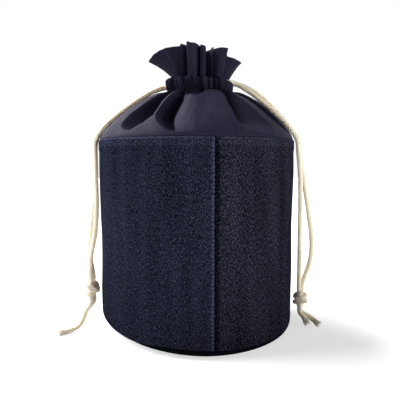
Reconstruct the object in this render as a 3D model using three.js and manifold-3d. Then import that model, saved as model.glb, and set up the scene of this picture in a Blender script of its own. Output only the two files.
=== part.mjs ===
// A round drawstring toiletry bag, 180 mm across and about 255 mm high with its mouth drawn shut.
// Two denim panels and a denim base make the body. A two-panel cotton collar is gathered on two drawcords
// that run through its casing, each knotted to itself at its own side of the bag.
// Millimetres, +Z up, origin at the middle of the base. The front of the bag faces -Y.
import * as THREE from "three";
import { mergeVertices } from "three/addons/utils/BufferGeometryUtils.js";
import Module from "manifold-3d";

// Denim body
const BODY_RADIUS = 90; // outside of the wall
const BODY_HEIGHT = 174; // floor to the top edge of the denim
const DENIM_THICKNESS = 2.4; // denim with its backing
const BASE_CORNER = 13; // outside radius where the wall turns under to the base
const BASE_SEAM_RISE = 38; // degrees below level, round that corner, at which the base seam lies
const PANEL_SEAM_BEARING = 11.5; // degrees from the front to the front panel seam
const SEAM_DIP = 0.9; // how far cloth rolls in at a seam
const SEAM_ROLL = 1.6; // length of cloth that rolls in on each side of a seam
const HEM_HEIGHT = 9; // band of folded denim below the top edge
const HEM_PROUD = 0.5; // how far that band stands out
const BODY_SIDES = 48;

// Cotton collar, from the denim up: shoulder, casing and frill
const COLLAR_THICKNESS = 2; // two layers of cotton, across the shoulder
const COLLAR_INSET = 0.8; // from the denim's face to the collar's
const SHOULDER_RISE = 43.5; // denim edge to the casing
const SHOULDER_STAND = 9; // how far the collar rises before it turns in
const NECK_RADIUS = 30; // outside of the casing
const NECK_ASIDE = 3; // how far the drawn neck sits to the right of the body's middle
const NECK_APPROACH = 20; // run of the collar in to the neck, nearly level
const NECK_APPROACH_DROP = 3;
const NECK_OPENING = 12.5; // radius of the hole that the gathers leave
const CASING_HEIGHT = 13;
const CASING_UNDERSIDE = 2; // how far the bunched cloth hangs below the casing
const CASING_BULGE = 1.5;
const CASING_GATHERS = 18;
const GATHER_DEPTH = 1.7;
const FRILL_LENGTH = 24;
const FRILL_ROOT_INSET = 5; // from the casing's face to the frill's foot
const FRILL_THICKNESS = 2.4;
const FRILL_SWING = 2.2; // how far the folds move the foot of the frill in and out
const SHOULDER_FOLD_DEPTH = 13;
const SHOULDER_RIDGES = [-122, -88, -57, -29, 5, 50, 84, 122, 160, 200]; // bearings in degrees
const FOLD_SLANT = 30; // degrees that folds on the left swing back between the denim and the neck
const FRILL_RIDGES = [-136, -92, -50, -13, 7, 22, 38, 77, 112, 146, 180, 204]; // bearings in degrees
const FRILL_LEANS = [40, 58, 38, 14, 12, 14, 20, 24, 32, 36, 32, 30]; // degrees that each ridge leans out
const FRILL_VALLEY_LEAN = 16; // degrees by which a valley leans out less than the ridges beside it
const WIDEST_FOLD = 45; // degrees between ridges at which a fold has its full depth
const COLLAR_COLUMNS = 90;

// Drawcords
const CORD_DIAMETER = 4.5;
const CORD_CLEARANCE = 0.45; // round a cord in its channel
const CHANNEL_RADIUS = 22.5; // middle of the cords' channels in the casing
const CHANNEL_RISE = 3.2; // from the foot of the casing to the lower channel
const CHANNEL_SPACING = 6.2; // height between the two channels
const EXIT_SPREAD = 2.6; // from the side seam to each strand where it leaves the casing
const EXIT_RISE = 2.6; // how far the lower cord climbs to its way out
const EXIT_TURN = 26; // degrees of the casing over which a strand turns out to the side
const CORD_SIDES = 8;
const CORD_STEP = 12; // length of cord for each facet
const KNOT_RADIUS = 4.9; // to the middle of the turns
const KNOT_HEIGHT = 15; // between the ends that the strands and tails come out of
const KNOT_TURN_TILTS = [-30, 34, -24]; // degrees
const STRAND_SPREAD = 2.5; // from the middle of a knot to each strand

const SEAM_GAP = 0.3; // between sewn pieces, so that each is a body of its own

// Worked out from the above
const cordRadius = CORD_DIAMETER / 2;
const channelRadius = cordRadius + CORD_CLEARANCE;
const knotReach = KNOT_HEIGHT / 2 + SEAM_GAP;
const neckHeight = BODY_HEIGHT + SHOULDER_RISE;
const casingTop = neckHeight + CASING_HEIGHT;
const casingMiddle = neckHeight + CASING_HEIGHT / 2;
const lowerChannel = neckHeight + CHANNEL_RISE;
const upperChannel = lowerChannel + CHANNEL_SPACING;
const radians = THREE.MathUtils.degToRad;

const wasm = await Module();
wasm.setup();

const denimLeft = new THREE.MeshStandardMaterial({ color: 0x23283b, roughness: 0.95, metalness: 0 });
const denimRight = new THREE.MeshStandardMaterial({ color: 0x262838, roughness: 0.95, metalness: 0 });
const denimBase = new THREE.MeshStandardMaterial({ color: 0x1b1e2b, roughness: 0.95, metalness: 0 });
const cotton = new THREE.MeshStandardMaterial({ color: 0x2b2a40, roughness: 0.6, metalness: 0 });
const rope = new THREE.MeshStandardMaterial({ color: 0xe9dcc4, roughness: 0.9, metalness: 0 });

// Solids

/** A closed geometry as a solid that can be joined and cut. */
function solidFrom(geometry) {
  const bare = geometry.clone();
  bare.deleteAttribute("normal");
  bare.deleteAttribute("uv");
  const merged = mergeVertices(bare, 1e-4);
  const corners = merged.index.array;
  const kept = [];
  for (let i = 0; i < corners.length; i += 3) {
    const [a, b, c] = [corners[i], corners[i + 1], corners[i + 2]];
    if (a !== b && b !== c && c !== a) kept.push(a, b, c);
  }
  return new wasm.Manifold(
    new wasm.Mesh({
      numProp: 3,
      vertProperties: merged.attributes.position.array,
      triVerts: new Uint32Array(kept),
    }),
  );
}

/** A solid as a named mesh. */
function meshFrom(name, solid, material) {
  const { vertProperties, triVerts } = solid.getMesh();
  const geometry = new THREE.BufferGeometry();
  geometry.setAttribute("position", new THREE.BufferAttribute(vertProperties, 3));
  geometry.setIndex(new THREE.BufferAttribute(triVerts, 1));
  geometry.computeVertexNormals();
  const mesh = new THREE.Mesh(geometry, material);
  mesh.name = name;
  return mesh;
}

/** A point at a bearing from the front, in degrees, counted towards the right. */
function atBearing(bearing, radius, height) {
  const angle = radians(bearing);
  return new THREE.Vector3(radius * Math.sin(angle), -radius * Math.cos(angle), height);
}

/** A closed profile of (radius, height) turned about the Z axis. */
function turned(points) {
  return solidFrom(new THREE.LatheGeometry(points, BODY_SIDES).rotateX(Math.PI / 2));
}

/** The two halves of a ring, parted by a gap in the upright plane at a bearing, most forward or leftward first. */
function halves(ring, bearing) {
  const reach = 4 * BODY_RADIUS;
  const height = 4 * (BODY_HEIGHT + SHOULDER_RISE);
  const blade = new THREE.BoxGeometry(SEAM_GAP, reach, height).rotateZ(radians(bearing));
  const side = atBearing(bearing - 90, 1, 0);
  const along = (half) => {
    const { min, max } = half.boundingBox();
    return side.x * (min[0] + max[0]) + side.y * (min[1] + max[1]);
  };
  return ring
    .subtract(solidFrom(blade))
    .decompose()
    .sort((a, b) => along(b) - along(a));
}

// Denim body

/** A point on the rounded corner under the wall, at an angle in degrees below level. */
function onCorner(angle, radius) {
  const [cos, sin] = [Math.cos(radians(angle)), Math.sin(radians(angle))];
  return new THREE.Vector2(BODY_RADIUS - BASE_CORNER + radius * cos, BASE_CORNER - radius * sin);
}

/** The degrees that a length takes up round the rounded corner. */
const cornerDegrees = (length) => THREE.MathUtils.radToDeg(length / BASE_CORNER);

/** Points round the corner from one angle to another, at a radius. */
function cornerArc(from, to, radius, count) {
  return Array.from({ length: count + 1 }, (_, i) => onCorner(from + ((to - from) * i) / count, radius));
}

/** The denim wall before it is cut into panels: rolled in at its base seam, with a folded hem at the top. */
function denimWall() {
  const inner = BASE_CORNER - DENIM_THICKNESS;
  const hemFace = BODY_RADIUS + HEM_PROUD;
  const profile = [
    onCorner(BASE_SEAM_RISE, BASE_CORNER - SEAM_DIP),
    ...cornerArc(BASE_SEAM_RISE - cornerDegrees(SEAM_ROLL), 0, BASE_CORNER, 2),
    new THREE.Vector2(BODY_RADIUS, BODY_HEIGHT - HEM_HEIGHT - SEAM_ROLL),
    new THREE.Vector2(hemFace, BODY_HEIGHT - HEM_HEIGHT),
    new THREE.Vector2(hemFace, BODY_HEIGHT - SEAM_ROLL),
    new THREE.Vector2(hemFace - SEAM_DIP, BODY_HEIGHT),
    new THREE.Vector2(BODY_RADIUS - DENIM_THICKNESS, BODY_HEIGHT),
    ...cornerArc(0, BASE_SEAM_RISE, inner, 2),
  ];
  return turned([...profile, profile[0]]);
}

/** A groove in the face of the wall where two panels are sewn together and roll in. */
function panelGroove(bearing) {
  const outline = new THREE.Shape();
  const face = BODY_RADIUS + HEM_PROUD;
  outline.moveTo(-SEAM_ROLL, -(face + SEAM_ROLL));
  outline.lineTo(SEAM_ROLL, -(face + SEAM_ROLL));
  outline.lineTo(SEAM_ROLL, -BODY_RADIUS);
  outline.lineTo(0, SEAM_DIP - BODY_RADIUS);
  outline.lineTo(-SEAM_ROLL, -BODY_RADIUS);
  const groove = new THREE.ExtrudeGeometry(outline, { depth: BODY_HEIGHT, bevelEnabled: false });
  return solidFrom(groove.translate(0, 0, BASE_CORNER).rotateZ(radians(bearing)));
}

function bodyPanels() {
  const opposite = PANEL_SEAM_BEARING + 180;
  const wall = denimWall().subtract(panelGroove(PANEL_SEAM_BEARING)).subtract(panelGroove(opposite));
  const [left, right] = halves(wall, PANEL_SEAM_BEARING);
  return [meshFrom("denim_panel_left", left, denimLeft), meshFrom("denim_panel_right", right, denimRight)];
}

/** The base: flat on the floor, turned up all round to meet the wall. */
function basePanel() {
  const seam = BASE_SEAM_RISE + cornerDegrees(SEAM_GAP);
  const profile = [
    new THREE.Vector2(0, 0),
    ...cornerArc(90, seam + cornerDegrees(SEAM_ROLL), BASE_CORNER, 3),
    onCorner(seam, BASE_CORNER - SEAM_DIP),
    ...cornerArc(seam, 90, BASE_CORNER - DENIM_THICKNESS, 2),
    new THREE.Vector2(0, DENIM_THICKNESS),
  ];
  return meshFrom("base_panel", turned(profile), denimBase);
}

// Cotton collar

/** How far the collar at a height sits to the right of the body's middle. */
const asideAt = (height) => NECK_ASIDE * THREE.MathUtils.smoothstep(height, BODY_HEIGHT, neckHeight);

/** A point of the collar at a bearing, round the neck's own middle. */
function onCollar(bearing, radius, height) {
  return atBearing(bearing, radius, height).add(new THREE.Vector3(asideAt(height), 0, 0));
}

/** Folds with ridges at the given bearings: how far out a bearing is, from -1 in a valley to 1 on a ridge,
 *  which ridges it lies between and is nearest to, and how wide the fold is as a share of the widest one. */
function foldAt(ridges, bearing) {
  const first = ridges[0];
  const wound = first + THREE.MathUtils.euclideanModulo(bearing - first, 360);
  const before = ridges.findLastIndex((ridge) => ridge <= wound);
  const after = (before + 1) % ridges.length;
  const width = THREE.MathUtils.euclideanModulo(ridges[after] - ridges[before], 360);
  const phase = (wound - ridges[before]) / width;
  const out = Math.cos(2 * Math.PI * phase);
  return { out, before, after, nearest: phase < 0.5 ? before : after, share: width / WIDEST_FOLD };
}

const shoulderCurve = new THREE.CubicBezierCurve(
  new THREE.Vector2(BODY_RADIUS - COLLAR_INSET, BODY_HEIGHT + SEAM_GAP),
  new THREE.Vector2(BODY_RADIUS - COLLAR_INSET, BODY_HEIGHT + SHOULDER_STAND),
  new THREE.Vector2(NECK_RADIUS + NECK_APPROACH, neckHeight - NECK_APPROACH_DROP),
  new THREE.Vector2(NECK_RADIUS, neckHeight),
);

/** A point of (radius, height) above the shoulder's outer curve, at a share of the way up to the neck. */
function aboveShoulder(share, lift) {
  const tangent = shoulderCurve.getTangent(share);
  return shoulderCurve.getPoint(share).add(new THREE.Vector2(tangent.y, -tangent.x).multiplyScalar(lift));
}

/** How deep the shoulder's folds are at a bearing: none at the denim, most below the neck. */
function shoulderFold(share, bearing) {
  const slant = FOLD_SLANT * (share - 0.5) * Math.max(0, -Math.sin(radians(bearing)));
  const { out, share: width } = foldAt(SHOULDER_RIDGES, bearing + slant);
  const valley = ((1 - out) / 2) ** 1.5;
  const grows = THREE.MathUtils.smoothstep(share, 0.04, 0.7);
  const closes = 1 - 0.55 * THREE.MathUtils.smoothstep(share, 0.75, 1);
  return SHOULDER_FOLD_DEPTH * width * valley * grows * closes;
}

/** A point of (radius, height) on the frill, at a length from its foot. */
function onFrill(length, bearing) {
  const { out, before, after, nearest } = foldAt(FRILL_RIDGES, bearing);
  const valleyLean = Math.min(FRILL_LEANS[before], FRILL_LEANS[after]) - FRILL_VALLEY_LEAN;
  const fullLean = THREE.MathUtils.lerp(valleyLean, FRILL_LEANS[nearest], (1 + out) / 2);
  const lean = radians(fullLean) * (0.5 + (0.5 * length) / FRILL_LENGTH);
  const foot = NECK_RADIUS - FRILL_ROOT_INSET + FRILL_SWING * out;
  return new THREE.Vector2(foot + length * Math.sin(lean), casingTop + length * Math.cos(lean));
}

/** The collar's section at a bearing, up its outside and down its inside, as (radius, height). */
function collarSection(bearing) {
  const gather = GATHER_DEPTH * Math.cos(radians(bearing * CASING_GATHERS));
  const shoulder = (shares, under) =>
    shares.map((share) => aboveShoulder(share, -under - shoulderFold(share, bearing)));
  const frill = (inset) =>
    [0.12, 0.4, 0.7, 1].map((share) => onFrill(share * FRILL_LENGTH, bearing).sub(new THREE.Vector2(inset, 0)));
  return [
    ...shoulder([0, 0.1, 0.22, 0.36, 0.5, 0.64, 0.78, 0.9], 0),
    new THREE.Vector2(NECK_RADIUS + gather - CASING_BULGE, neckHeight),
    new THREE.Vector2(NECK_RADIUS + gather, neckHeight + CASING_HEIGHT * 0.3),
    new THREE.Vector2(NECK_RADIUS + gather, neckHeight + CASING_HEIGHT * 0.7),
    new THREE.Vector2(NECK_RADIUS + gather - 2 * CASING_BULGE, casingTop),
    ...frill(0),
    ...frill(FRILL_THICKNESS).reverse(),
    new THREE.Vector2(NECK_OPENING - gather / 2 + CASING_BULGE, casingTop),
    new THREE.Vector2(NECK_OPENING - gather / 2, casingMiddle),
    new THREE.Vector2(NECK_OPENING - gather / 2 + CASING_BULGE, neckHeight - CASING_UNDERSIDE),
    ...shoulder([0.9, 0.78, 0.5, 0.22, 0], COLLAR_THICKNESS),
  ];
}

/** A ring lofted through closed sections at even bearings. */
function loftedRing(sectionAt, columns) {
  const sections = Array.from({ length: columns }, (_, i) => {
    const bearing = (360 * i) / columns;
    return sectionAt(bearing).map(({ x, y }) => onCollar(bearing, x, y));
  });
  const rows = sections[0].length;
  const faces = [];
  for (let i = 0; i < columns; i++) {
    for (let j = 0; j < rows; j++) {
      const [a, b] = [i * rows + j, i * rows + ((j + 1) % rows)];
      const [c, d] = [((i + 1) % columns) * rows + ((j + 1) % rows), ((i + 1) % columns) * rows + j];
      faces.push(a, d, c, a, c, b);
    }
  }
  return solidFrom(new THREE.BufferGeometry().setFromPoints(sections.flat()).setIndex(faces));
}

function collarPanels(cords) {
  let ring = loftedRing(collarSection, COLLAR_COLUMNS);
  for (const cord of cords) ring = ring.subtract(cordTube(cord, channelRadius));
  const [front, back] = halves(ring, 90);
  return [meshFrom("collar_front", front, cotton), meshFrom("collar_back", back, cotton)];
}

// Drawcords

/** A tube along a smooth route. */
function cordTube(route, radius) {
  const curve = new THREE.CatmullRomCurve3(route, false, "centripetal");
  const section = new THREE.Shape();
  for (let i = 0; i < CORD_SIDES; i++) {
    const angle = (2 * Math.PI * i) / CORD_SIDES;
    const corner = [radius * Math.cos(angle), radius * Math.sin(angle)];
    if (i === 0) section.moveTo(...corner);
    else section.lineTo(...corner);
  }
  const steps = Math.ceil(curve.getLength() / CORD_STEP);
  return solidFrom(new THREE.ExtrudeGeometry(section, { steps, extrudePath: curve, bevelEnabled: false }));
}

/** A point beside the wall at a side, -1 left or 1 right: out from the denim's face, at a depth and a height. */
function beside(side, out, depth, height) {
  const radius = BODY_RADIUS + out;
  return new THREE.Vector3(side * Math.sqrt(radius ** 2 - depth ** 2), depth, height);
}

/** A point over the shoulder at a side: at a share of the way to the neck, a lift above it and a depth. */
function overShoulder(side, share, lift, depth) {
  const { x: radius, y: height } = aboveShoulder(share, lift);
  return new THREE.Vector3(asideAt(height) + side * Math.sqrt(radius ** 2 - depth ** 2), depth, height);
}

/** A cord's route through the casing: in at one side, once round, and out at the same side. */
function throughCasing(side, height, rise) {
  const outside = NECK_RADIUS + CASING_BULGE;
  const first = 90 - EXIT_TURN;
  const bearings = Array.from({ length: 17 }, (_, i) => first - ((180 + 2 * first) * i) / 16);
  const ring = bearings.map((bearing) => onCollar(side * bearing, CHANNEL_RADIUS, height));
  const exit = (depth) => new THREE.Vector3(asideAt(height) + side * outside, depth, height + rise);
  return [exit(-EXIT_SPREAD), ...ring, exit(EXIT_SPREAD)];
}

/** The two points of a strand or tail at the end of a knot: where it stops, and where it leaves upright. */
function fromKnot(knot, across, depth, end) {
  const stop = new THREE.Vector3(knot.x + across, knot.y + depth, knot.z + end * knotReach);
  return [stop, stop.clone().add(new THREE.Vector3(0, 0, end * CORD_DIAMETER))];
}

/** The left cord, from its knot up the front strand, round the casing and down the back strand. */
function leftCord(knot) {
  const side = -1;
  return [
    ...fromKnot(knot, -0.6, -STRAND_SPREAD, 1),
    beside(side, 9.6, -28.5, 68),
    beside(side, 5.5, -28, 90),
    beside(side, 3.6, -26, 112),
    beside(side, 3.4, -22.5, 138),
    beside(side, 3.6, -18, BODY_HEIGHT - 16),
    beside(side, 3.4, -13, BODY_HEIGHT - 1),
    overShoulder(side, 0.22, 3.4, -9),
    overShoulder(side, 0.42, 4.2, -6),
    overShoulder(side, 0.62, 4.8, -4),
    overShoulder(side, 0.82, 5.6, -EXIT_SPREAD),
    ...throughCasing(side, lowerChannel, EXIT_RISE),
    overShoulder(side, 0.82, 6.6, EXIT_SPREAD),
    overShoulder(side, 0.62, 6.6, 3),
    overShoulder(side, 0.42, 5.8, 2),
    overShoulder(side, 0.22, 4.6, -1),
    beside(side, 4, -5.5, BODY_HEIGHT - 1),
    beside(side, 4.4, -9.5, BODY_HEIGHT - 16),
    beside(side, 5, -13.5, 138),
    beside(side, 6, -16, 112),
    beside(side, 8.5, -18.5, 90),
    beside(side, 10.4, -21.5, 68),
    ...fromKnot(knot, 0.6, STRAND_SPREAD, 1).reverse(),
  ];
}

/** The right cord: its front strand hangs straight, and its back strand bows out. */
function rightCord(knot) {
  const side = 1;
  return [
    ...fromKnot(knot, -1.8, -1.8, 1),
    beside(side, 7.6, -17, 60),
    beside(side, 7.4, -16, 84),
    beside(side, 7.4, -15.5, 112),
    beside(side, 6.8, -14.5, 140),
    beside(side, 5, -12.5, BODY_HEIGHT - 12),
    beside(side, 3.4, -10, BODY_HEIGHT + 1),
    overShoulder(side, 0.24, 3.2, -8),
    overShoulder(side, 0.44, 3.4, -6.5),
    overShoulder(side, 0.64, 4.6, -5),
    overShoulder(side, 0.83, 7, -3.4),
    ...throughCasing(side, upperChannel, 0),
    overShoulder(side, 0.83, 10, 3),
    overShoulder(side, 0.64, 8.5, 3),
    overShoulder(side, 0.44, 6, 2),
    overShoulder(side, 0.24, 4.6, 0),
    beside(side, 4.4, -3, BODY_HEIGHT + 1),
    beside(side, 6.4, -5, BODY_HEIGHT - 14),
    beside(side, 11.5, -6.5, 134),
    beside(side, 16, -8, 106),
    beside(side, 19.2, -10, 80),
    beside(side, 18, -12, 62),
    beside(side, 13.5, -13.2, 48),
    ...fromKnot(knot, 1.8, 1.8, 1).reverse(),
  ];
}

/** The tails below each knot. The left front one lies on the floor and the left back one hangs behind it, and the
 *  right pair splays as it reaches the floor. */
function tailRoutes(side, knot) {
  const out = (across, depth, height) => new THREE.Vector3(knot.x + side * across, knot.y + depth, height);
  const rest = cordRadius + SEAM_GAP;
  const front = fromKnot(knot, -0.6, -STRAND_SPREAD, -1);
  const back = fromKnot(knot, 0.6, STRAND_SPREAD, -1);
  if (side < 0) {
    const laid = [out(14, -5, 3.6), out(21.6, -11, rest), out(28.6, -16.5, rest)];
    return [
      [...front, out(5.6, -2, 18), out(9.6, -2.5, 8.5), ...laid],
      [...back, out(6.8, 2.7, 16.5), out(10.6, 2.4, 7.2), out(12.2, 1.9, 3.6)],
    ];
  }
  return [
    [...front, out(3, -5.5, 9.3), out(6.4, -6.5, 2.9)],
    [...back, out(9.6, -2.2, 8.2), out(17.6, -7.2, rest)],
  ];
}

/** An overhand knot in both strands: turns of cord drawn tight round a core. */
function knotSolid(knot) {
  const core = new THREE.CylinderGeometry(KNOT_RADIUS, KNOT_RADIUS, KNOT_HEIGHT, 10).rotateX(Math.PI / 2);
  let solid = solidFrom(core.translate(knot.x, knot.y, knot.z));
  KNOT_TURN_TILTS.forEach((tilt, i) => {
    const turn = new THREE.TorusGeometry(KNOT_RADIUS, cordRadius, 6, 11).rotateY(radians(tilt));
    const lift = (i - 1) * cordRadius;
    solid = solid.add(solidFrom(turn.rotateZ(i).translate(knot.x, knot.y, knot.z + lift)));
  });
  return solid;
}

/** One drawcord with its knot and tails. */
function drawcord(name, side, knot, route) {
  const tails = tailRoutes(side, knot);
  const group = new THREE.Group();
  group.add(
    meshFrom(name, cordTube(route, cordRadius), rope),
    meshFrom(`${name}_knot`, knotSolid(knot), rope),
    meshFrom(`${name}_tail_front`, cordTube(tails[0], cordRadius), rope),
    meshFrom(`${name}_tail_back`, cordTube(tails[1], cordRadius), rope),
  );
  return group;
}

const leftKnot = beside(-1, 8.9, -26, 39);
const rightKnot = beside(1, 8.9, -16, 26);
const leftRoute = leftCord(leftKnot);
const rightRoute = rightCord(rightKnot);

const bag = new THREE.Group();
bag.name = "toiletry_bag";
bag.add(...bodyPanels(), basePanel(), ...collarPanels([leftRoute, rightRoute]));
bag.add(drawcord("drawcord_left", -1, leftKnot, leftRoute), drawcord("drawcord_right", 1, rightKnot, rightRoute));

export default bag;
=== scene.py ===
"""A round drawstring toiletry bag: denim body, gathered cotton collar and two knotted cotton drawcords.

Metres, +Z up, with the origin at the middle of the base. The front of the bag faces -Y. A bearing is an angle
in degrees from the front, counted towards the right.
"""

from __future__ import annotations

import logging
import math
from dataclasses import dataclass, field
from enum import Enum
from typing import Mapping, Sequence, Union

import bpy
import numpy as np
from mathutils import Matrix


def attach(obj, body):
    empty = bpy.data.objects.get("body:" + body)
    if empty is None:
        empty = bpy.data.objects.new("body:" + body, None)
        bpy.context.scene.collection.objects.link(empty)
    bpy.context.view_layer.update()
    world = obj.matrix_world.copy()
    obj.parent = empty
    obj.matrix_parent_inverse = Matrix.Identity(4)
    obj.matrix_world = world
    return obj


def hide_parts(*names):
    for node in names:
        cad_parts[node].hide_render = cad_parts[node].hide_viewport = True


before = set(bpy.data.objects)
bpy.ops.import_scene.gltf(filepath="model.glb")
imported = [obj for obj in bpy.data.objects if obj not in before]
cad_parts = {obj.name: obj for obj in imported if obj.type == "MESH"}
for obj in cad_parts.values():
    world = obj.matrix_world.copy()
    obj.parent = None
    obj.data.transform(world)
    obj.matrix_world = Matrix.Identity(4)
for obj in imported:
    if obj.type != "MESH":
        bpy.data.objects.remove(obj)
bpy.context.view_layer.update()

LOG = logging.getLogger("toiletry_bag")
BODY = "root"
CLOTH_MAP = "cloth"
IMAGE_SIDE = 400
SENSOR = 36.0
FULL_TURN = 2 * math.pi
SHARP_EDGE = math.radians(62)
STRAY = (0.31, 0.87, 0.38)  # a direction that no cord starts in

Array = np.ndarray
Colour = tuple[float, float, float, float]


class Side(Enum):
    """A side of the bag, as the sign of its X."""

    LEFT = -1
    RIGHT = 1

    @property
    def word(self) -> str:
        """The side as the names of pieces have it."""
        return self.name.lower()


class Half(Enum):
    """A half of the collar, as the bearing of its middle."""

    FRONT = 0.0
    BACK = 180.0


def linear(red: int, green: int, blue: int) -> Colour:
    """A colour given as screen levels from 0 to 255, as light.

    Args:
        red: Red level.
        green: Green level.
        blue: Blue level.

    Returns:
        The colour with an alpha of 1.
    """
    levels = (level / 255 for level in (red, green, blue))
    light = (c / 12.92 if c <= 0.04045 else ((c + 0.055) / 1.055) ** 2.4 for c in levels)
    return (*light, 1.0)


def smoothstep(value: Array, low: float, high: float) -> Array:
    """An even rise from 0 at one value to 1 at another.

    Args:
        value: Where to look.
        low: Value at which the rise starts.
        high: Value at which it ends.

    Returns:
        Shares from 0 to 1.
    """
    share = np.clip((value - low) / (high - low), 0.0, 1.0)
    return share * share * (3 - 2 * share)


def turn_between(bearing: Array | float, middle: Array | float) -> Array | float:
    """Degrees from one bearing to another, the short way round."""
    return (bearing - middle + 180.0) % 360.0 - 180.0


def together(*parts: Array | float) -> Array:
    """Numbers spread over one another's rows and columns, and set side by side."""
    return np.stack(np.broadcast_arrays(*parts), axis=-1)


def at_bearing(bearing: Array, radius: Array, height: Array) -> Array:
    """Points at bearings, radii and heights.

    Args:
        bearing: Degrees from the front.
        radius: Distances from the bag's axis.
        height: Heights above the floor.

    Returns:
        The points, with their three coordinates last.
    """
    angle = np.radians(bearing)
    return together(radius * np.sin(angle), -radius * np.cos(angle), height)


def run_along(line: Array) -> Array:
    """Length from the start of a line to each point, or of a sheet to each row by its mean."""
    steps = np.linalg.norm(np.diff(line, axis=0), axis=-1)
    return np.concatenate([[0.0], np.cumsum(steps.reshape(len(steps), -1).mean(axis=1))])


def smooth_route(points: Array, step: float) -> Array:
    """A smooth line through points, as a centripetal Catmull-Rom curve.

    Args:
        points: Points that the line passes.
        step: Length between the points of the result.

    Returns:
        Points at about that step.
    """
    ends = [2 * points[0] - points[1], *points, 2 * points[-1] - points[-2]]
    line = [points[0]]
    for p0, p1, p2, p3 in zip(ends, ends[1:], ends[2:], ends[3:]):
        d0, d1, d2 = (math.sqrt(np.linalg.norm(b - a)) for a, b in ((p0, p1), (p1, p2), (p2, p3)))
        leave = ((p1 - p0) / d0 - (p2 - p0) / (d0 + d1) + (p2 - p1) / d1) * d1
        arrive = ((p2 - p1) / d1 - (p3 - p1) / (d1 + d2) + (p3 - p2) / d2) * d1
        t = np.linspace(0, 1, 33)[1:, None]
        bend = (2 * p1 - 2 * p2 + leave + arrive) * t**3 + (-3 * p1 + 3 * p2 - 2 * leave - arrive) * t**2
        line.extend(bend + leave * t + p1)
    return even_steps(np.array(line), step)


def even_steps(line: Array, step: float) -> Array:
    """A line again, with its points at about a step apart.

    Args:
        line: Points along the line.
        step: Length between the points of the result.

    Returns:
        The evenly spaced points.
    """
    along = run_along(line)
    places = np.linspace(0, along[-1], max(2, math.ceil(along[-1] / step) + 1))
    return np.stack([np.interp(places, along, line[:, axis]) for axis in range(3)], axis=1)


def curve_through(values: Array, slopes: Array, gaps: Array, piece: Array, t: Array) -> Array:
    """Places on the cubic curves through rows of values.

    Args:
        values: Values, in rows.
        slopes: How fast they change, in the same rows.
        gaps: Distance from each row to the next.
        piece: Row that each place comes after.
        t: Share of the way from there to the next row, for each place.

    Returns:
        The values at the places.
    """
    t, wide = (part.reshape(-1, *(1,) * (values.ndim - 1)) for part in (t, gaps[piece]))
    start = (1 + 2 * t) * (1 - t) ** 2 * values[piece] + t * (1 - t) ** 2 * wide * slopes[piece]
    end = t**2 * (3 - 2 * t) * values[piece + 1] + t**2 * (t - 1) * wide * slopes[piece + 1]
    return start + end


def smooth_rows(controls: Array, count: int) -> Array:
    """Rows of a sheet through control rows, evenly spaced by the sheet's mean length.

    Args:
        controls: Control rows, one (radius, height) for each row and column.
        count: Number of rows in the result.

    Returns:
        The rows, shaped as the controls are.
    """
    gaps = np.maximum(np.linalg.norm(np.diff(controls, axis=0), axis=2).mean(axis=1), 1e-6)
    knots = np.concatenate([[0.0], np.cumsum(gaps)])
    slopes = np.diff(controls, axis=0) / gaps[:, None, None]
    before, after = gaps[:-1, None, None], gaps[1:, None, None]
    inner = (slopes[:-1] * after + slopes[1:] * before) / (before + after)
    tangents = np.concatenate([slopes[:1], inner, slopes[-1:]])
    places = np.linspace(0, knots[-1], count)
    piece = np.clip(np.searchsorted(knots, places, side="right") - 1, 0, len(gaps) - 1)
    return curve_through(controls, tangents, gaps, piece, (places - knots[piece]) / gaps[piece])


def add_object(name: str, data: bpy.types.ID) -> bpy.types.Object:
    """Adds an object to the scene.

    Args:
        name: Its name.
        data: Its mesh, lamp or camera.

    Returns:
        The object.
    """
    made = bpy.data.objects.new(name, data)
    bpy.context.scene.collection.objects.link(made)
    return made


@dataclass(frozen=True)
class Ripple:
    """A smooth unevenness of cloth, made of seeded waves that close round the bag."""

    seed: int
    turns: tuple[int, int] = (2, 13)
    rise: tuple[float, float] = (0.05, 0.16)
    waves: int = 12

    def at(self, bearing: Array, height: Array | float) -> Array:
        """The unevenness, from about -1 to 1.

        Args:
            bearing: Degrees from the front.
            height: Heights in metres.

        Returns:
            The unevenness at each place.
        """
        draw = np.random.default_rng(self.seed)
        total = np.zeros(np.broadcast(bearing, height).shape)
        for _ in range(self.waves):
            turns = draw.integers(*self.turns)
            rise = draw.uniform(*self.rise) * draw.choice((-1, 1))
            start = draw.uniform(0, FULL_TURN)
            total += np.sin(np.radians(bearing) * turns + FULL_TURN * height / rise + start)
        return total / math.sqrt(2 * self.waves)


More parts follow.
